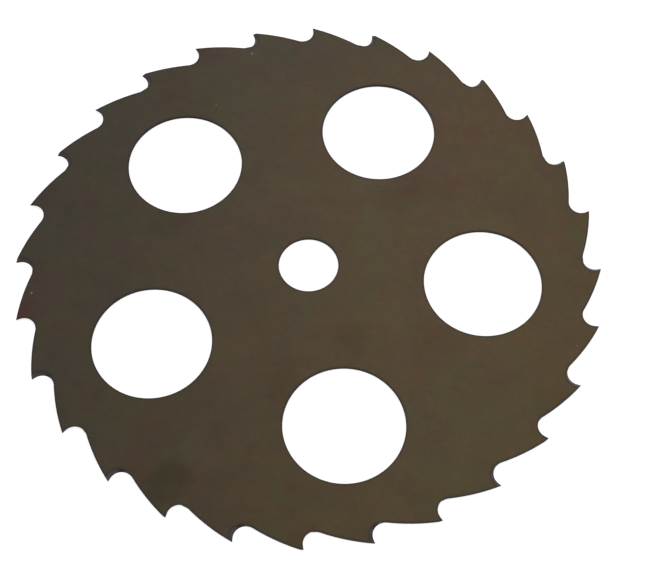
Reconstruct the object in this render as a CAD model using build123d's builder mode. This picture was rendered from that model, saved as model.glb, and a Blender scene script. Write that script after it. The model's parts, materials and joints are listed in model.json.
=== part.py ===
from build123d import *
import os
from math import atan2, cos, degrees, radians, sin, sqrt, tan

# Toothed brush cutter blade, made from one flat steel sheet.
# It lies flat, with its underside on z = 0 and the arbor axis on +Z.
# Seen from above it cuts counter-clockwise, and every tooth face looks that way.

# Driving dimensions, in millimetres and degrees
blade_diameter = 250.0
thickness = 1.2
bore_diameter = 25.4

tooth_count = 28
first_tooth_angle = 0.0
hook_angle = 10.5
gullet_radius = 5.0
gullet_depth = 7.5
back_radius = 84.0

# Every face is ground on a slant: one tooth from above, the next from below.
face_bevel = 50.0
grinding_stock = 0.2

# Lightening holes, and the solid ring between them and the gullets
hole_count = 5
hole_diameter = 50.0
first_hole_angle = 65.9
rim_width = 18.0

# Corners broken on the bore and the lightening holes; the teeth stay sharp
edge_break = 0.1

# Worked out from the driving dimensions
blade_radius = blade_diameter / 2
gullet_floor_radius = blade_radius - gullet_depth
hole_circle_radius = gullet_floor_radius - rim_width - hole_diameter / 2
tooth_pitch = 360 / tooth_count
outside_radius = blade_radius / cos(radians(tooth_pitch / 2)) + gullet_radius

# The grinding wheel runs past each side of the sheet, and across the whole gullet
wheel_overrun = thickness
wheel_width = 2 * gullet_radius

os.makedirs("parts", exist_ok=True)


def polar(radius, angle):
    """Point at a radius and an angle in degrees about the arbor axis."""
    return Vector(radius * cos(radians(angle)), radius * sin(radians(angle)))


def heading(vector):
    """Angle of a vector in degrees, counter-clockwise from +X."""
    return degrees(atan2(vector.Y, vector.X))


# Tooth face, drawn for the tooth whose tip is on +X.
# It leans back by the hook angle and runs into the gullet arc at a tangent.
tip = polar(blade_radius, 0)
down_face = polar(-1, hook_angle)
off_face = polar(1, hook_angle + 90)
level_centre = tip + off_face * gullet_radius
drop = blade_radius * cos(radians(hook_angle))
centre_radius = gullet_floor_radius + gullet_radius
face_length = drop - sqrt(drop**2 - level_centre.length**2 + centre_radius**2)
gullet_centre = level_centre + down_face * face_length
face_end = gullet_centre - off_face * gullet_radius
face_top = tip - down_face * (outside_radius - blade_radius)

# Tooth back: one convex arc that leaves the gullet at a tangent and ends at the next tip
next_tip = polar(blade_radius, tooth_pitch)
span = next_tip - gullet_centre
reach = back_radius + gullet_radius
along = (reach**2 - back_radius**2 + span.length**2) / (2 * span.length)
inward = span.normalized().rotate(Axis.Z, 90)
back_centre = gullet_centre + span.normalized() * along + inward * sqrt(reach**2 - along**2)
back_start = gullet_centre + (back_centre - gullet_centre).normalized() * gullet_radius
back_chord_middle = (back_start + next_tip) / 2
back_crown = back_centre + (back_chord_middle - back_centre).normalized() * back_radius
gullet_sweep = (heading(back_centre - gullet_centre) - heading(-off_face)) % 360 - 360

# The space that the punch clears between two teeth
with BuildSketch() as tooth_gap:
    with BuildLine():
        Line(face_top, face_end)
        CenterArc(gullet_centre, gullet_radius, heading(-off_face), gullet_sweep)
        ThreePointArc(back_start, back_crown, next_tip)
        Polyline(next_tip, polar(outside_radius, tooth_pitch), face_top)
    make_face()


def face_grinding(lean):
    """Path of a round-rimmed wheel through one tooth face, on a slant through the sheet.

    With lean -1 the wheel cuts deeper at the upper side, with +1 at the lower side.
    On the side where it cuts less, it takes off only the grinding stock.
    """
    slope = lean * tan(radians(face_bevel))
    depth_at_underside = grinding_stock + max(slope, 0) * thickness
    slant = Vector(0, slope, 1)
    travel = slant.length * (thickness + 2 * wheel_overrun)
    with BuildPart() as path:
        with BuildSketch(Plane(origin=(0, -depth_at_underside - slope * wheel_overrun, -wheel_overrun))):
            with BuildLine():
                Line(face_top, face_end)
                CenterArc(gullet_centre, gullet_radius, heading(-off_face), -180)
                Polyline(face_end + off_face * wheel_width, face_top + off_face * wheel_width, face_top)
            make_face()
        extrude(amount=travel, dir=slant)
    return path.part


ground_from_above = face_grinding(-1)
ground_from_below = face_grinding(1)

with BuildPart() as blade:
    with BuildSketch():
        Circle(blade_radius)
        with PolarLocations(0, tooth_count, start_angle=first_tooth_angle):
            add(tooth_gap.sketch, mode=Mode.SUBTRACT)
        Circle(bore_diameter / 2, mode=Mode.SUBTRACT)
        with PolarLocations(hole_circle_radius, hole_count, start_angle=first_hole_angle):
            Circle(hole_diameter / 2, mode=Mode.SUBTRACT)
    extrude(amount=thickness)
    hole_edges = blade.edges().filter_by(lambda edge: edge.is_closed)
    chamfer(hole_edges, edge_break)
    for tooth in range(tooth_count):
        grinding = ground_from_below if tooth % 2 else ground_from_above
        with PolarLocations(0, 1, start_angle=first_tooth_angle + tooth * tooth_pitch):
            add(grinding, mode=Mode.SUBTRACT)

blade.part.label = "blade"
export_step(blade.part, "parts/blade.step")
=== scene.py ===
import json
from math import cos, pi, radians, sin, sqrt, tan

import bmesh
import bpy
import numpy as np
from mathutils import Matrix, Vector


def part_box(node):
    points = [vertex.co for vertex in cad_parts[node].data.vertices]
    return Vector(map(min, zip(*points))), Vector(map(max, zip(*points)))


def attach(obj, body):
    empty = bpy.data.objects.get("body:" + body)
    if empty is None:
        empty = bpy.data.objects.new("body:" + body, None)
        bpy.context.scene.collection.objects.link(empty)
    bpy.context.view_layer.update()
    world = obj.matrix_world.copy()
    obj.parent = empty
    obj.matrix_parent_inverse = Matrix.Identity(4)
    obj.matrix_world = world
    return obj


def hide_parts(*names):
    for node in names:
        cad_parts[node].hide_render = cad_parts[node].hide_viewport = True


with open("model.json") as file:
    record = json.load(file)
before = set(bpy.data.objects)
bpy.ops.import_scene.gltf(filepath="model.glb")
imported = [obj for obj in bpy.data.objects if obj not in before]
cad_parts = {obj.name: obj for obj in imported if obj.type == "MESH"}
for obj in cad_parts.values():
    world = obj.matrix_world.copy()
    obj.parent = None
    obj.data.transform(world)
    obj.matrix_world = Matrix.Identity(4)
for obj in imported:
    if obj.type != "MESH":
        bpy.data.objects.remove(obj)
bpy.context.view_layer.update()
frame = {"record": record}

# The frame is in metres. Sizes here are in millimetres and angles in radians, as on the blade's drawing.
MM = 0.001

lower_corner, upper_corner = (np.array(corner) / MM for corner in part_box("blade"))
mounts = {mount["name"]: mount for mount in frame["record"]["mounts"]}
THICKNESS = upper_corner[2] - lower_corner[2]
BORE_RADIUS = mounts["arbor_bore"]["dims"]["r_mm"]

# Teeth
BLADE_RADIUS = 125.0
TOOTH_COUNT = 28
HOOK_ANGLE = radians(10.5)
GULLET_RADIUS = 5.0
GULLET_DEPTH = 7.5
BACK_RADIUS = 84.0
FACE_BEVEL = radians(50.0)
GRINDING_STOCK = 0.2

# Lightening holes
HOLE_COUNT = 5
HOLE_RADIUS = 25.0
HOLE_CIRCLE_RADIUS = 74.5
FIRST_HOLE_ANGLE = radians(65.9)

# Corners: broken by tumbling on the round holes, barely eased along the punched teeth
HOLE_EDGE_BREAK = 0.1
TOOTH_EDGE_BREAK = 0.05

# The eased corners fade to nothing over this many steps of the rim, at a tip and at a ground face
EASE_STEPS = 2

# Web of the face mesh: circles that run just outside and just inside the five holes
OUTER_WEB_RADIUS = 103.0
INNER_WEB_RADIUS = 46.0

# Steps along one tooth pitch, in the order of the edge; together 40, so that five cells share 28 teeth evenly
FACE_STEPS = 4
GROUND_STEPS = 14
PUNCHED_STEPS = 6
BACK_STEPS = 16
PITCH_STEPS = FACE_STEPS + GROUND_STEPS + PUNCHED_STEPS + BACK_STEPS
RIM_STEPS = TOOTH_COUNT * PITCH_STEPS
CELL_RIM_STEPS = RIM_STEPS // HOLE_COUNT
CELL_HUB_STEPS = 56
CELL_SIDE_STEPS = 32

# The face's rulings lean back by this many steps of the rim, so that they stay in the steel under each hook
RULING_LEAN_STEPS = 17

# The patterns on the edge of each tooth are read this far from those of the tooth before it
TOOTH_RUN = 50.0

# Rows across a sheet edge: three on each broken corner and four on the wall between them
CORNER_ROWS = 3
WALL_ROWS = 4

# Rows across a flat face, as shares of the way from an edge inwards, close together at the edge
FACE_ROWS = np.array([0, 0.012, 0.04, 0.1, 0.25, 0.55, 1])

# Mesh: points closer than this are one, and corners sharper than this stay sharp
WELD_DISTANCE = 0.0005
SHARP_ANGLE = radians(40)

# Finishes of the mesh's faces, in the order of its materials
FACE, WALL, GROUND = 0, 1, 2

# The distance from the nearest edge is told this far in; beyond it the face is all one
EDGE_REACH = 3.0

# Camera, solved from the photograph's holes and tooth tips
LENS_PIXELS = 1406.2
PHOTO_WIDTH = 656
SENSOR_WIDTH = 36.0
VIEW_TURN = radians(-0.1)
VIEW_ELEVATION = radians(62.966)
VIEW_ROLL = radians(0.5656)
VIEW_DISTANCE = 594.63
AIM_RIGHT = 8.4
AIM_FORWARD = -11.62

# Nothing nearer to the camera than this is drawn
NEAREST_SEEN = 10.0


def polar(radius, angle):
    """Point of the blade's plane as a complex number, from a radius and an angle about the arbor axis."""
    return radius * np.exp(1j * angle)


# Tooth whose tip is on the real axis: face line, gullet arc tangent to it, back arc tangent to the gullet
pitch_angle = 2 * pi / TOOTH_COUNT
pitch_turn = polar(1, pitch_angle)
tip = polar(BLADE_RADIUS, 0)
down_face = -polar(1, HOOK_ANGLE)
off_face = 1j * polar(1, HOOK_ANGLE)
level_centre = tip + off_face * GULLET_RADIUS
drop = BLADE_RADIUS * cos(HOOK_ANGLE)
centre_radius = BLADE_RADIUS - GULLET_DEPTH + GULLET_RADIUS
face_length = drop - sqrt(drop**2 - abs(level_centre)**2 + centre_radius**2)
gullet_centre = level_centre + down_face * face_length
face_end = gullet_centre - off_face * GULLET_RADIUS

span = tip * pitch_turn - gullet_centre
along_span = span / abs(span)
reach = BACK_RADIUS + GULLET_RADIUS
along = (reach**2 - BACK_RADIUS**2 + abs(span)**2) / (2 * abs(span))
back_centre = gullet_centre + along_span * (along + 1j * sqrt(reach**2 - along**2))


def between(start, end, steps):
    """Rows of evenly spaced values from each start towards each end, which the next stretch begins with."""
    start, end = np.broadcast_arrays(np.asarray(start)[..., None], np.asarray(end)[..., None])
    return start + (end - start) * np.arange(steps) / steps


def ground_tip(shift):
    """Tip of a tooth whose face is ground back by a shift: the shifted face line cut with the back arc.

    The distance down the face solves |start + distance * down_face| = back radius about the back's centre.
    """
    own_back_centre = back_centre / pitch_turn
    start = tip - 1j * shift - own_back_centre
    slope = (start * np.conj(down_face)).real
    distance = -slope - np.sqrt(slope**2 - np.abs(start)**2 + BACK_RADIUS**2)
    return tip - 1j * shift + distance * down_face


def pitch_outline(shift, next_shift):
    """Edge of one pitch, from a tip to the next, with one row for each pair of face shifts.

    Face line, ground arc about the shifted centre, punched arc from where the two circles cross, back arc.
    """
    half_crossing = np.arcsin(shift / (2 * GULLET_RADIUS))
    face_heading = np.angle(-off_face)
    back_heading = np.angle(back_centre - gullet_centre) - 2 * pi
    back_end = ground_tip(next_shift) * pitch_turn
    face = between(ground_tip(shift), face_end - 1j * shift, FACE_STEPS)
    ground = between(face_heading, -pi - half_crossing, GROUND_STEPS)
    punched = between(-pi + half_crossing, back_heading, PUNCHED_STEPS)
    back = between(np.angle(gullet_centre - back_centre), np.angle(back_end - back_centre), BACK_STEPS)
    return np.concatenate([
        face,
        (gullet_centre - 1j * shift)[:, None] + polar(GULLET_RADIUS, ground),
        gullet_centre + polar(GULLET_RADIUS, punched),
        back_centre + polar(BACK_RADIUS, back),
    ], axis=1)


def blade_outline(height):
    """Whole toothed edge at each height: even teeth are ground from above, odd teeth from below."""
    from_above = GRINDING_STOCK + height * tan(FACE_BEVEL)
    from_below = GRINDING_STOCK + (THICKNESS - height) * tan(FACE_BEVEL)
    pair = np.stack([pitch_outline(from_above, from_below), pitch_outline(from_below, from_above)], axis=1)
    pairs = np.tile(pair, (1, TOOTH_COUNT // 2, 1))
    turns = polar(1, pitch_angle * np.arange(TOOTH_COUNT))
    return (pairs * turns[None, :, None]).reshape(len(height), RIM_STEPS)


def closed(loop):
    """A loop with its first point repeated at the end."""
    return np.concatenate([loop, loop[..., :1]], axis=-1)


def edge_profile(break_size):
    """Section of the sheet's edge, from below: insets and heights of two quarter rounds and a wall."""
    turn = np.linspace(0, pi / 2, CORNER_ROWS + 1)
    inset = break_size * (1 - np.sin(turn))
    height = break_size * (1 - np.cos(turn))
    wall = np.linspace(break_size, THICKNESS - break_size, WALL_ROWS + 1)[1:-1]
    insets = np.concatenate([inset, np.zeros(len(wall)), inset[::-1]])
    heights = np.concatenate([height, wall, THICKNESS - height[::-1]])
    return insets, heights


def as_surface(plane_points, height):
    """Grid of space points from complex points of the blade's plane and their heights."""
    height = np.broadcast_to(height, plane_points.shape)
    return np.stack([plane_points.real, plane_points.imag, height], axis=-1)


def toothed_rim():
    """The edge of all teeth: the outline at each height, moved inwards by the profile's inset.

    The inset fades to nothing on the ground faces, whose corners stay sharp.
    """
    insets, heights = edge_profile(TOOTH_EDGE_BREAK)
    outline = blade_outline(heights)
    tangent = np.roll(outline, -1, axis=1) - np.roll(outline, 1, axis=1)
    inward = 1j * tangent / np.abs(tangent)
    station = np.arange(PITCH_STEPS)
    ground_end = FACE_STEPS + GROUND_STEPS
    from_ground = np.clip((station - ground_end) / EASE_STEPS, 0, 1)
    from_tip = np.clip((PITCH_STEPS - station) / EASE_STEPS, 0, 1)
    eased = np.tile(from_ground * from_tip, TOOTH_COUNT)
    return closed(outline + inward * insets[:, None] * eased), heights


def hole_cell(index):
    """Cell of the web round one lightening hole, as two loops: the hole's rays and the cell's border.

    The border is a sector: outer web circle, a side inwards, inner web circle, a side outwards.
    """
    middle = FIRST_HOLE_ANGLE + index * 2 * pi / HOLE_COUNT
    half = pi / HOLE_COUNT
    border = np.concatenate([
        polar(OUTER_WEB_RADIUS, between(middle - half, middle + half, CELL_RIM_STEPS)),
        polar(between(OUTER_WEB_RADIUS, INNER_WEB_RADIUS, CELL_SIDE_STEPS), middle + half),
        polar(INNER_WEB_RADIUS, between(middle + half, middle - half, CELL_HUB_STEPS)),
        polar(between(INNER_WEB_RADIUS, OUTER_WEB_RADIUS, CELL_SIDE_STEPS), middle - half),
    ])
    centre = polar(HOLE_CIRCLE_RADIUS, middle)
    border = closed(border)
    rays = (border - centre) / np.abs(border - centre)
    return centre, rays, border


class SheetMesh:
    """Collects grids of points and turns them into one mesh, welded where they meet."""

    def __init__(self):
        self.points, self.quads, self.runs, self.shares, self.finishes, self.edges = [], [], [], [], [], []
        self.count = 0

    def add(self, surface, run, finish, edge_distance, share=0.0):
        """Adds a grid: rows by columns of points, with a finish per column.

        Each point has its run along the edge and its height, its distance from the nearest edge, and its
        share of the way down a ground tooth face.
        """
        rows, columns = surface.shape[:2]
        corner = (np.arange(rows - 1)[:, None] * columns + np.arange(columns - 1)).ravel() + self.count
        self.quads.append(np.stack([corner, corner + 1, corner + columns + 1, corner + columns], axis=1))
        self.points.append(surface.reshape(-1, 3))
        self.runs.append(run.reshape(-1, 2))
        self.shares.append(np.broadcast_to(share, (rows, columns)).ravel())
        self.finishes.append(np.broadcast_to(finish, (rows - 1, columns - 1)).ravel())
        self.edges.append(np.broadcast_to(edge_distance, (rows, columns)).ravel())
        self.count += rows * columns

    def build(self, name, materials):
        """Object of the whole shell, in metres, with faces outwards and sharp corners kept sharp."""
        quads = np.concatenate(self.quads)
        share = np.concatenate(self.shares)
        mesh = bpy.data.meshes.new(name)
        mesh.from_pydata(np.concatenate(self.points) * MM, [], quads.tolist())
        for material in materials:
            mesh.materials.append(material)
        mesh.polygons.foreach_set("material_index", np.concatenate(self.finishes).astype(np.int32))
        maps = {"edge_run": np.concatenate(self.runs), "ground_share": np.stack([share, share], axis=1)}
        for map_name, values in maps.items():
            uv_layer = mesh.uv_layers.new(name=map_name)
            uv_layer.uv.foreach_set("vector", values[quads.ravel()].astype(np.float32).ravel())
        distance = mesh.attributes.new("edge_distance", "FLOAT", "POINT")
        distance.data.foreach_set("value", np.concatenate(self.edges).astype(np.float32))
        shell = bmesh.new()
        shell.from_mesh(mesh)
        bmesh.ops.remove_doubles(shell, verts=shell.verts, dist=WELD_DISTANCE * MM)
        bmesh.ops.recalc_face_normals(shell, faces=shell.faces)
        shell.to_mesh(mesh)
        shell.free()
        mesh.shade_smooth()
        mesh.set_sharp_from_angle(angle=SHARP_ANGLE)
        piece = bpy.data.objects.new(name, mesh)
        bpy.context.scene.collection.objects.link(piece)
        return piece


def add_flat(shell, outer, inner, height, edge_distance):
    """Flat face between two loops, ruled from the first to the second at the shares of FACE_ROWS."""
    points = outer + (inner - outer) * FACE_ROWS[:, None]
    place = np.stack([points.real, points.imag], axis=-1)
    shell.add(as_surface(points, height), place, FACE, np.minimum(edge_distance(points), EDGE_REACH))


def run_and_height(rows, heights, anchor=0):
    """Distance run along each row of a wall from the anchor station, and the height, for each point."""
    steps = np.abs(np.diff(rows, axis=1))
    run = np.concatenate([np.zeros((len(rows), 1)), np.cumsum(steps, axis=1)], axis=1)
    return np.stack(np.broadcast_arrays(run - run[:, [anchor]], heights[:, None]), axis=-1)


def add_round_hole(shell, centre, rays, radius, border):
    """Wall of a round hole and the faces from it out to a border, on both sides of the sheet.

    The wall's points lie on the rays from the centre, at the radius plus the profile's inset.
    """
    insets, heights = edge_profile(HOLE_EDGE_BREAK)
    wall = centre + rays * (radius + insets)[:, None]
    middle_row = wall[[len(heights) // 2]]
    shell.add(as_surface(wall, heights[:, None]), run_and_height(middle_row, heights), WALL, 0)
    for loop, height in ((wall[0], 0), (wall[-1], THICKNESS)):
        add_flat(shell, loop, border, height, lambda points: np.abs(points - centre) - radius)


def add_teeth(shell):
    """Toothed rim, tooth by tooth, and the faces from it in to the outer web circle.

    The run along the edge is told from the start of each tooth back, which is the same point at every height.
    The web circle has the corners of the hole cells, and each of its points lies RULING_LEAN_STEPS back from
    the station of the rim that it is ruled to.
    """
    rim, heights = toothed_rim()
    station = np.arange(PITCH_STEPS + 1)
    ground_end = FACE_STEPS + GROUND_STEPS
    share = np.minimum(station / ground_end, 1)
    finish = np.where(station[:-1] < ground_end, GROUND, WALL)
    for tooth in range(TOOTH_COUNT):
        wall = rim[:, tooth * PITCH_STEPS:(tooth + 1) * PITCH_STEPS + 1]
        run = run_and_height(wall, heights, ground_end + PUNCHED_STEPS) + (tooth * TOOTH_RUN, 0)
        shell.add(as_surface(wall, heights[:, None]), run, finish, 0, share)
    step = 2 * pi / RIM_STEPS
    first = (FIRST_HOLE_ANGLE - pi / HOLE_COUNT) % step - RULING_LEAN_STEPS * step
    web = polar(OUTER_WEB_RADIUS, first + step * np.arange(RIM_STEPS + 1))
    for loop, height in ((rim[0], 0), (rim[-1], THICKNESS)):
        add_flat(shell, loop, web, height,
                 lambda points: np.abs(points[..., None] - loop[:-1]).min(axis=-1))


def add_hub(shell):
    """Arbor bore, and the faces from it out to the inner web circle."""
    first = FIRST_HOLE_ANGLE - pi / HOLE_COUNT
    turn = np.linspace(first, first + 2 * pi, HOLE_COUNT * CELL_HUB_STEPS + 1)
    add_round_hole(shell, 0j, polar(1, turn), BORE_RADIUS, polar(INNER_WEB_RADIUS, turn))


def make_blade(materials):
    """The whole blade as one closed shell."""
    shell = SheetMesh()
    add_teeth(shell)
    add_hub(shell)
    for index in range(HOLE_COUNT):
        centre, rays, border = hole_cell(index)
        add_round_hole(shell, centre, rays, HOLE_RADIUS, border)
    return shell.build("toothed_blade", materials)


def linear(hex_colour):
    """sRGB hex colour as linear RGBA, by the curve of the sRGB standard."""
    channels = np.array([int(hex_colour[i:i + 2], 16) for i in (1, 3, 5)]) / 255
    low, high = channels / 12.92, ((channels + 0.055) / 1.055) ** 2.4
    return (*np.where(channels <= 0.04045, low, high), 1.0)


def per_mm(size):
    """Texture scale that makes one cell of a pattern that many millimetres wide in Object coordinates."""
    return 1 / (size * MM)


def add_node(tree, kind, links, **settings):
    """Adds one node with its settings; links gives each input a value or another node's output."""
    node = tree.nodes.new(kind)
    for name, value in settings.items():
        setattr(node, name, value)
    for name, value in links.items():
        if isinstance(value, bpy.types.NodeSocket):
            tree.links.new(value, node.inputs[name])
        else:
            node.inputs[name].default_value = value
    return node


def set_ramp(ramp, stops):
    """Gives a colour ramp its stops: places from 0 to 1 and sRGB hex colours."""
    elements = ramp.color_ramp.elements
    while len(elements) < len(stops):
        elements.new(1.0)
    for element, (place, hex_colour) in zip(elements, stops):
        element.position, element.color = place, linear(hex_colour)


def new_material(name):
    """An empty node material and its tree."""
    material = bpy.data.materials.new(name)
    material.use_nodes = True
    material.node_tree.nodes.clear()
    return material, material.node_tree


# Film on the sheet; sizes and places of its patterns are in millimetres.
# It goes from greyer at the far left of the blade to warmer at the near right, a painted tint of warm light
# from the right, swayed by slow clouds.
FILM_AND_WARM_LIGHT_COLOURS = [(0.0, "#423F37"), (0.5, "#453F34"), (1.0, "#453E30")]
DRIFT_HEADING = radians(-49)
DRIFT_SIZE = 70.0
DRIFT_HALVINGS = 2.0
DRIFT_SWAY = 0.35

# Clouds in the film: the widest ones in lightness and in hue, how often their size is halved, and how
# strong they are in each
MOTTLE_SIZE = 24.0
HUE_MOTTLE_SIZE = 20.0
MOTTLE_HALVINGS = 6.0
LIGHT_MOTTLE = 0.38
HUE_MOTTLE = 0.8

# The two faces are this many times further apart in the patterns than in the steel, so that they differ
SIDE_SPREAD = 20.0

# Handling marks on the upper face: place, radius, and what the film's colour is multiplied by at the middle
MARKS = [
    (-54, -99, 13, "#F0F0F0"), (-62, -102, 9, "#F5F5F5"), (-52, -93, 10, "#F5F5F5"), (-61, 21, 14, "#F5F5F5"),
    (47.7, 39.9, 12, "#F6F6F6"), (40, 32.7, 9, "#F7F7F7"), (17.5, -34.6, 13, "#F6F6F6"),
    (-9.8, -56, 14, "#FAF7F3"), (54, -38, 15, "#F9F6F6"), (99, -62, 13, "#F8F7F8"),
]

# Redder patches, where the film grew a little thicker, and a wide olive one at the near right, told in the
# same way
HUE_PATCHES = [
    (-119, -22, 7, "#FFE4F4"), (-51, 110, 12, "#FFF4F9"), (-65, 93, 13, "#FFF7FA"),
    (-56, 77, 14, "#FFFAFC"), (-115, 35, 9, "#FFF5F8"), (60, 41, 10, "#FFF7FA"),
    (1, -118, 8, "#FFF7FA"), (75, -88, 60, "#F7FFFF"),
]

# Patches that shine more, most of them greener and those by one tooth and at the far right redder:
# place, radius, and the light that they add at the middle
SHINE_PATCHES = [
    (31, 13, 18, "#070706"), (26, 41, 15, "#070A08"), (25, 21, 15, "#050805"), (33, -3.5, 12, "#080B07"),
    (-27.6, 111, 9, "#080D0D"), (-42, -87, 11, "#090B08"), (-45, -78, 10, "#070A05"),
    (-98, 65, 13, "#050A06"), (-120, -23.5, 7, "#240000"), (-110, -22, 28, "#110000"),
    (70, 85, 50, "#0A0000"),
]

# Chips in the film, down to brighter metal: place, radius and colour
CHIPS = [
    (-27.6, 110.2, 0.5, "#7A746C"), (-116.7, -14.7, 0.55, "#7C7368"),
    (-42.9, 81.7, 0.42, "#625A50"), (111.7, -37.2, 0.4, "#62594B"),
]

# How uneven the rims of the marks and patches are, and those of the chips, and how often the unevenness
# is halved in size
SMUDGE_RAGGEDNESS = 9.0
CHIP_RAGGEDNESS = 0.6
RAGGED_HALVINGS = 2.0

# Share of the radius within which a mark or a patch of hue, a patch that shines and a chip are whole
MARK_WHOLE = 0.3
SHINE_WHOLE = 0.0
CHIP_WHOLE = 0.5

# Blue-grey oil scale left along the edges: how far in it reaches, and the light that it leaves at the edge
EDGE_SCALE_REACH = 1.3
EDGE_SCALE_TINT = "#CFDDF9"

# Rolling grain of the strip: the real lines are about 0.02 mm apart, drawn coarser here so that they show
GRAIN_SPACING = 0.3
GRAIN_LENGTH = 4.0
GRAIN_HEIGHT = 0.002
GRAIN_HALVINGS = 2.0

# Roughness of the film from one side of the grain to the other
SMOOTHEST_FILM = 0.34
ROUGHEST_FILM = 0.44

# Sockets of a Mix node that mixes colours
MIX_SHARE, MIX_UNDER, MIX_OVER, MIX_RESULT = 0, 6, 7, 2


def film_place(tree):
    """Object coordinates with the height spread, so that each face of the sheet has its own patterns."""
    place = add_node(tree, "ShaderNodeTexCoord", {}).outputs["Object"]
    return add_node(tree, "ShaderNodeVectorMath", {
        0: place, 1: (1, 1, SIDE_SPREAD)}, operation="MULTIPLY").outputs[0]


def film_drift_and_warm_light(tree, place):
    """Slow change of the colour, greyer to warmer across the blade, as a painted tint of warm light: the
    share of the way across the blade, swayed by a noise, read off a ramp.
    """
    heading = (cos(DRIFT_HEADING), sin(DRIFT_HEADING), 0)
    across = add_node(tree, "ShaderNodeVectorMath", {0: place, 1: heading}, operation="DOT_PRODUCT")
    share = add_node(tree, "ShaderNodeMapRange", {
        "Value": across.outputs["Value"], "From Min": -BLADE_RADIUS * MM, "From Max": BLADE_RADIUS * MM,
        "To Min": -DRIFT_SWAY / 2, "To Max": 1 - DRIFT_SWAY / 2})
    sway = add_node(tree, "ShaderNodeTexNoise", {
        "Vector": place, "Scale": per_mm(DRIFT_SIZE), "Detail": DRIFT_HALVINGS})
    swayed = add_node(tree, "ShaderNodeMath", {
        0: sway.outputs["Fac"], 1: DRIFT_SWAY, 2: share.outputs[0]}, operation="MULTIPLY_ADD")
    film_and_warm_light = add_node(tree, "ShaderNodeValToRGB", {"Fac": swayed.outputs[0]})
    set_ramp(film_and_warm_light, FILM_AND_WARM_LIGHT_COLOURS)
    return film_and_warm_light.outputs["Color"]


def film_mottle(tree, place, colour):
    """Clouds in the film, as strong when fine as when wide: one noise for lightness, then three for the hue.

    Each multiplies the colour by 1 + strength * (noise - 1/2).
    """
    clouds = ((MOTTLE_SIZE, "Fac", LIGHT_MOTTLE), (HUE_MOTTLE_SIZE, "Color", HUE_MOTTLE))
    for size, output, strength in clouds:
        noise = add_node(tree, "ShaderNodeTexNoise", {
            "Vector": place, "Scale": per_mm(size), "Detail": MOTTLE_HALVINGS, "Roughness": 1.0})
        gain = add_node(tree, "ShaderNodeVectorMath", {
            0: noise.outputs[output], 1: (strength,) * 3, 2: (1 - strength / 2,) * 3,
        }, operation="MULTIPLY_ADD")
        colour = add_node(tree, "ShaderNodeVectorMath", {
            0: colour, 1: gain.outputs[0]}, operation="MULTIPLY").outputs[0]
    return colour


def ragged_place(tree, place, size):
    """The place, pushed about by up to one size by a noise with cells of that size, for uneven rims."""
    noise = add_node(tree, "ShaderNodeTexNoise", {
        "Vector": place, "Scale": per_mm(size), "Detail": RAGGED_HALVINGS})
    return add_node(tree, "ShaderNodeVectorMath", {
        0: noise.outputs["Color"], 1: (size * MM,) * 3, 2: place}, operation="MULTIPLY_ADD").outputs[0]


def film_spots(tree, place, colour, spots, blend, whole, raggedness):
    """Uneven spots on the upper face, whole up to a share of their radius and fading to nothing at it.

    The noise that makes their rims uneven is 1/2 on average, and half its push is added to each middle.
    """
    place = ragged_place(tree, place, raggedness)
    push = Vector((raggedness, raggedness, raggedness)) / 2
    for right, forward, radius, spot_colour in spots:
        middle = Vector((right, forward, THICKNESS * SIDE_SPREAD)) + push
        away = add_node(tree, "ShaderNodeVectorMath", {0: place, 1: middle * MM}, operation="DISTANCE")
        cover = add_node(tree, "ShaderNodeMapRange", {
            "Value": away.outputs["Value"], "From Min": whole * radius * MM, "From Max": radius * MM,
            "To Min": 1.0, "To Max": 0.0}, interpolation_type="SMOOTHERSTEP")
        colour = add_node(tree, "ShaderNodeMix", {
            MIX_SHARE: cover.outputs[0], MIX_UNDER: colour, MIX_OVER: linear(spot_colour),
        }, data_type="RGBA", blend_type=blend).outputs[MIX_RESULT]
    return colour


def edge_scale(tree, colour):
    """Darker scale along the edges, as a tint whose share falls smoothly to nothing with the distance in."""
    distance = add_node(tree, "ShaderNodeAttribute", {}, attribute_name="edge_distance").outputs["Fac"]
    cover = add_node(tree, "ShaderNodeMapRange", {
        "Value": distance, "From Min": 0.0, "From Max": EDGE_SCALE_REACH,
        "To Min": 1.0, "To Max": 0.0}, interpolation_type="SMOOTHSTEP")
    return add_node(tree, "ShaderNodeMix", {
        MIX_SHARE: cover.outputs[0], MIX_UNDER: colour, MIX_OVER: linear(EDGE_SCALE_TINT),
    }, data_type="RGBA", blend_type="MULTIPLY").outputs[MIX_RESULT]


def rolling_grain(tree, place):
    """Bump of the rolling grain: a fine noise stretched along the strip's rolling direction, which is X."""
    along = add_node(tree, "ShaderNodeVectorMath", {
        0: place, 1: (GRAIN_SPACING / GRAIN_LENGTH, 1, 1)}, operation="MULTIPLY")
    grain = add_node(tree, "ShaderNodeTexNoise", {
        "Vector": along.outputs[0], "Scale": per_mm(GRAIN_SPACING), "Detail": GRAIN_HALVINGS})
    bump = add_node(tree, "ShaderNodeBump", {
        "Height": grain.outputs["Fac"], "Distance": GRAIN_HEIGHT * MM, "Strength": 1.0})
    return grain.outputs["Fac"], bump.outputs["Normal"]


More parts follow.
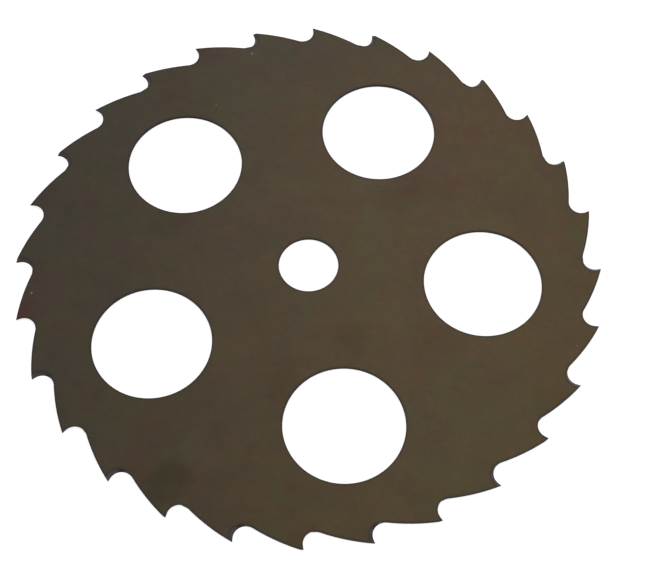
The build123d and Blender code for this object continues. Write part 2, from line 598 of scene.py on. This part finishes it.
def tempered_steel_film():
    """Cold-rolled spring steel, hardened and tempered flat, with a thin brown oxide film under clear lacquer.

    To the eye it is a dark bronze satin without a sharp reflection, nearly even, with a painted tint of warm
    light that makes it greyer olive at the far left and warmer red-brown at the near right, and redder
    patches where the film is thicker. It has faint clouds, handling marks and a few chips, and a darker edge.
    """
    material, tree = new_material("bronze_tempered_steel")
    place = film_place(tree)
    colour = film_drift_and_warm_light(tree, place)
    colour = film_mottle(tree, place, colour)
    colour = film_spots(tree, place, colour, MARKS + HUE_PATCHES, "MULTIPLY", MARK_WHOLE, SMUDGE_RAGGEDNESS)
    colour = film_spots(tree, place, colour, SHINE_PATCHES, "ADD", SHINE_WHOLE, SMUDGE_RAGGEDNESS)
    colour = film_spots(tree, place, colour, CHIPS, "MIX", CHIP_WHOLE, CHIP_RAGGEDNESS)
    colour = edge_scale(tree, colour)
    grain, normal = rolling_grain(tree, place)
    roughness = add_node(tree, "ShaderNodeMapRange", {
        "Value": grain, "To Min": SMOOTHEST_FILM, "To Max": ROUGHEST_FILM})
    shader = add_node(tree, "ShaderNodeBsdfPrincipled", {
        "Base Color": colour, "Metallic": 1.0, "Roughness": roughness.outputs[0], "Normal": normal})
    add_node(tree, "ShaderNodeOutputMaterial", {"Surface": shader.outputs["BSDF"]})
    return material


# Punched edges: streaks that the punch drags through the sheet, and their scale from dark to light
STREAK_SPACING = 0.25
STREAK_LENGTH = 3.0
STREAK_HEIGHT = 0.03
STREAK_HALVINGS = 3.0
SCALE_COLOURS = [(0.3, "#231E1A"), (0.7, "#3A322B")]

# The share of the thickness that the punch burnishes, and the roughness there and where the steel broke off
BURNISHED_SHARE = 0.35
BURNISHED_ROUGHNESS = 0.5
BROKEN_ROUGHNESS = 0.75


def edge_run_place(tree, spacing, length):
    """Edge coordinates in cells, one spacing wide along the edge and one length long across the sheet."""
    run = add_node(tree, "ShaderNodeUVMap", {}, uv_map="edge_run").outputs[0]
    return add_node(tree, "ShaderNodeVectorMath", {
        0: run, 1: (1 / spacing, 1 / length, 1)}, operation="MULTIPLY").outputs[0]


def punched_steel_wall():
    """Spring steel punched out of the strip, then blackened by oil scale in the hardening furnace.

    To the eye it is nearly black and dull, with streaks across the thickness. The punch burnishes the side
    that it enters, which is a little smoother and lighter, and the rest breaks off rough.
    """
    material, tree = new_material("scaled_punched_edge")
    streaks = add_node(tree, "ShaderNodeTexNoise", {
        "Vector": edge_run_place(tree, STREAK_SPACING, STREAK_LENGTH), "Scale": 1.0,
        "Detail": STREAK_HALVINGS})
    run = add_node(tree, "ShaderNodeUVMap", {}, uv_map="edge_run").outputs[0]
    height = add_node(tree, "ShaderNodeSeparateXYZ", {0: run}).outputs["Y"]
    break_line = THICKNESS * (1 - BURNISHED_SHARE)
    roughness = add_node(tree, "ShaderNodeMapRange", {
        "Value": height, "From Min": break_line - TOOTH_EDGE_BREAK, "From Max": break_line + TOOTH_EDGE_BREAK,
        "To Min": BROKEN_ROUGHNESS, "To Max": BURNISHED_ROUGHNESS})
    scale = add_node(tree, "ShaderNodeValToRGB", {"Fac": streaks.outputs["Fac"]})
    set_ramp(scale, SCALE_COLOURS)
    bump = add_node(tree, "ShaderNodeBump", {
        "Height": streaks.outputs["Fac"], "Distance": STREAK_HEIGHT * MM, "Strength": 1.0})
    shader = add_node(tree, "ShaderNodeBsdfPrincipled", {
        "Base Color": scale.outputs["Color"], "Metallic": 1.0, "Roughness": roughness.outputs[0],
        "Normal": bump.outputs["Normal"]})
    add_node(tree, "ShaderNodeOutputMaterial", {"Surface": shader.outputs["BSDF"]})
    return material


# Ground tooth faces: grit lines across the sheet, about as far apart as the grains of a 60-grit wheel,
# and the heat colours of the grinding from the tip down the face, with painted shade darkening the gullet's
# corner
GRIT_SPACING = 0.25
GRIT_LENGTH = 6.0
GRIT_HEIGHT = 0.01
GRIT_HALVINGS = 4.0
HEAT_COLOURS_AND_GULLET_SHADE = [
    (0.0, "#4A4440"), (0.3, "#46403F"), (0.58, "#453F41"),
    (0.69, "#302A2A"), (0.84, "#231D1B"), (1.0, "#382F29"),
]

# How much the grit lines darken and lighten the steel, and the steel's roughness
GRIT_CONTRAST = 0.6
GROUND_ROUGHNESS = 0.42


def ground_tooth_face():
    """Tooth face and gullet ground dry on a slant by the round rim of a wheel, and darkened by its heat.

    To the eye it is a grey-brown metal with fine lines across the sheet, a little bluer down the face. The
    nearly black colour in the corner of the gullet is painted shade of that hollow.
    """
    material, tree = new_material("wheel_ground_steel")
    lines = add_node(tree, "ShaderNodeTexNoise", {
        "Vector": edge_run_place(tree, GRIT_SPACING, GRIT_LENGTH), "Scale": 1.0, "Detail": GRIT_HALVINGS})
    share = add_node(tree, "ShaderNodeUVMap", {}, uv_map="ground_share").outputs[0]
    down = add_node(tree, "ShaderNodeSeparateXYZ", {0: share}).outputs["X"]
    heat_and_gullet_shade = add_node(tree, "ShaderNodeValToRGB", {"Fac": down})
    set_ramp(heat_and_gullet_shade, HEAT_COLOURS_AND_GULLET_SHADE)
    light = add_node(tree, "ShaderNodeMapRange", {
        "Value": lines.outputs["Fac"], "To Min": 1 - GRIT_CONTRAST, "To Max": 1 + GRIT_CONTRAST})
    colour = add_node(tree, "ShaderNodeVectorMath", {
        0: heat_and_gullet_shade.outputs["Color"], "Scale": light.outputs[0]}, operation="SCALE")
    bump = add_node(tree, "ShaderNodeBump", {
        "Height": lines.outputs["Fac"], "Distance": GRIT_HEIGHT * MM, "Strength": 1.0})
    shader = add_node(tree, "ShaderNodeBsdfPrincipled", {
        "Base Color": colour.outputs[0], "Metallic": 1.0, "Roughness": GROUND_ROUGHNESS,
        "Normal": bump.outputs["Normal"]})
    add_node(tree, "ShaderNodeOutputMaterial", {"Surface": shader.outputs["BSDF"]})
    return material


# Stage
FLOOR_HALF_SIZE = 3000.0
FLOOR_GAP = 0.02
FLOOR_COLOUR = "#C4C4C4"
FLOOR_GLOW = 0.7
WORLD_LIGHT = 0.85

# Lamps: name, place, the point that they face, size in millimetres, turn, power in watts, and colour.
# The satin film shows the softbox over the right half of the blade, and the ground faces at the near left
# show the window.
LAMPS = [
    ("softbox", (250, 745, 1400), (250, 745, 0), (730, 1500), radians(20), 4.7, "#FFE1C6"),
    ("window", (1170, -630, 705), (0, 0, 0), (1900, 900), 0, 3.6, "#DCE4FF"),
]


def background_ray(tree):
    """1 for rays that show the background itself: straight from the camera, mirrored or through glass."""
    path = add_node(tree, "ShaderNodeLightPath", {})
    seen = add_node(tree, "ShaderNodeMath", {
        0: path.outputs["Is Camera Ray"], 1: path.outputs["Is Glossy Ray"]}, operation="MAXIMUM")
    seen = add_node(tree, "ShaderNodeMath", {
        0: seen.outputs[0], 1: path.outputs["Is Transmission Ray"]}, operation="MAXIMUM")
    return seen.outputs[0]


def make_floor():
    """White sweep under the blade: a pale matt floor that glows to white for background rays."""
    material, tree = new_material("white_paper_sweep")
    glow = add_node(tree, "ShaderNodeMath", {0: background_ray(tree), 1: FLOOR_GLOW}, operation="MULTIPLY")
    matt = add_node(tree, "ShaderNodeBsdfDiffuse", {"Color": linear(FLOOR_COLOUR)})
    light = add_node(tree, "ShaderNodeEmission", {"Color": linear("#FFFFFF"), "Strength": glow.outputs[0]})
    both = add_node(tree, "ShaderNodeAddShader", {0: matt.outputs[0], 1: light.outputs[0]})
    add_node(tree, "ShaderNodeOutputMaterial", {"Surface": both.outputs[0]})
    size = FLOOR_HALF_SIZE * MM
    mesh = bpy.data.meshes.new("floor")
    height = -FLOOR_GAP * MM
    corners = [(-size, -size, height), (size, -size, height), (size, size, height), (-size, size, height)]
    mesh.from_pydata(corners, [], [(0, 1, 2, 3)])
    mesh.materials.append(material)
    floor = bpy.data.objects.new("floor", mesh)
    bpy.context.scene.collection.objects.link(floor)


def make_world():
    """Even white surroundings: full white for background rays, and a plain level for light."""
    world = bpy.data.worlds.new("studio")
    world.use_nodes = True
    tree = world.node_tree
    tree.nodes.clear()
    strength = add_node(tree, "ShaderNodeMapRange", {
        "Value": background_ray(tree), "To Min": WORLD_LIGHT, "To Max": 1.0})
    shine = add_node(tree, "ShaderNodeBackground", {"Strength": strength.outputs[0]})
    add_node(tree, "ShaderNodeOutputWorld", {"Surface": shine.outputs[0]})
    bpy.context.scene.world = world


def make_lamp(name, place, faces, size, turn, power, hex_colour):
    """Soft rectangular lamp that faces a point, turned about the line to it."""
    lamp = bpy.data.lights.new(name, "AREA")
    lamp.shape = "RECTANGLE"
    lamp.size, lamp.size_y = (side * MM for side in size)
    lamp.energy = power
    lamp.color = linear(hex_colour)[:3]
    holder = bpy.data.objects.new(name, lamp)
    back = Vector(place) - Vector(faces)
    aim = back.to_track_quat("Z", "Y").to_matrix().to_4x4()
    holder.matrix_world = Matrix.Translation(Vector(place) * MM) @ aim @ Matrix.Rotation(turn, 4, "Z")
    bpy.context.scene.collection.objects.link(holder)


def make_camera():
    """Camera at the photograph's place, which looks down at the aim point on the upper face."""
    camera = bpy.data.cameras.new("camera")
    camera.sensor_fit = "HORIZONTAL"
    camera.sensor_width = SENSOR_WIDTH
    camera.lens = LENS_PIXELS / PHOTO_WIDTH * SENSOR_WIDTH
    camera.clip_start = NEAREST_SEEN * MM
    aim = Vector((AIM_RIGHT, AIM_FORWARD, THICKNESS))
    back = Vector((0, -cos(VIEW_ELEVATION), sin(VIEW_ELEVATION)))
    place = Matrix.Translation((aim + back * VIEW_DISTANCE) * MM)
    tilt = Matrix.Rotation(pi / 2 - VIEW_ELEVATION, 4, "X") @ Matrix.Rotation(VIEW_ROLL, 4, "Z")
    holder = bpy.data.objects.new("camera", camera)
    holder.matrix_world = Matrix.Rotation(VIEW_TURN, 4, "Z") @ place @ tilt
    bpy.context.scene.collection.objects.link(holder)
    bpy.context.scene.camera = holder


bpy.context.scene.view_settings.view_transform = "Standard"
make_camera()
make_world()
make_floor()
for lamp in LAMPS:
    make_lamp(*lamp)
blade = make_blade([tempered_steel_film(), punched_steel_wall(), ground_tooth_face()])
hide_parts("blade")
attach(blade, "root")
